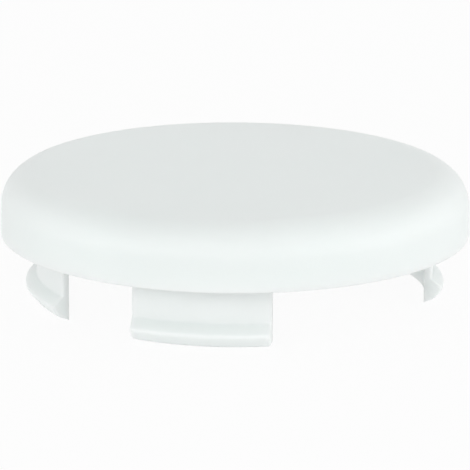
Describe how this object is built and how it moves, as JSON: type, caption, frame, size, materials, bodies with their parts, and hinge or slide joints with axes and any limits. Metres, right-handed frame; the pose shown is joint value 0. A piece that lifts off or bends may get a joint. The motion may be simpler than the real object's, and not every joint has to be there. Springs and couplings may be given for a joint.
{
  "type": "cover cap",
  "caption": "Round snap-in cover cap: flat top, softly rounded edge, hollow underside with thin curved snap hooks that grip the wall of a round boring in a furniture panel.",
  "frame": {"origin": "centre of the rim's seating face, the plane that lies on the panel, on the axis of the boring", "axes": "+Z out of the visible top, -Y through the middle of a narrow hook"},
  "size_m": [0.04, 0.04, 0.0109],
  "materials": {
    "cover_cap": "satin white, through-coloured"
  },
  "bodies": {
    "root": {"cover_cap": "cover_cap"}
  },
  "joints": []
}
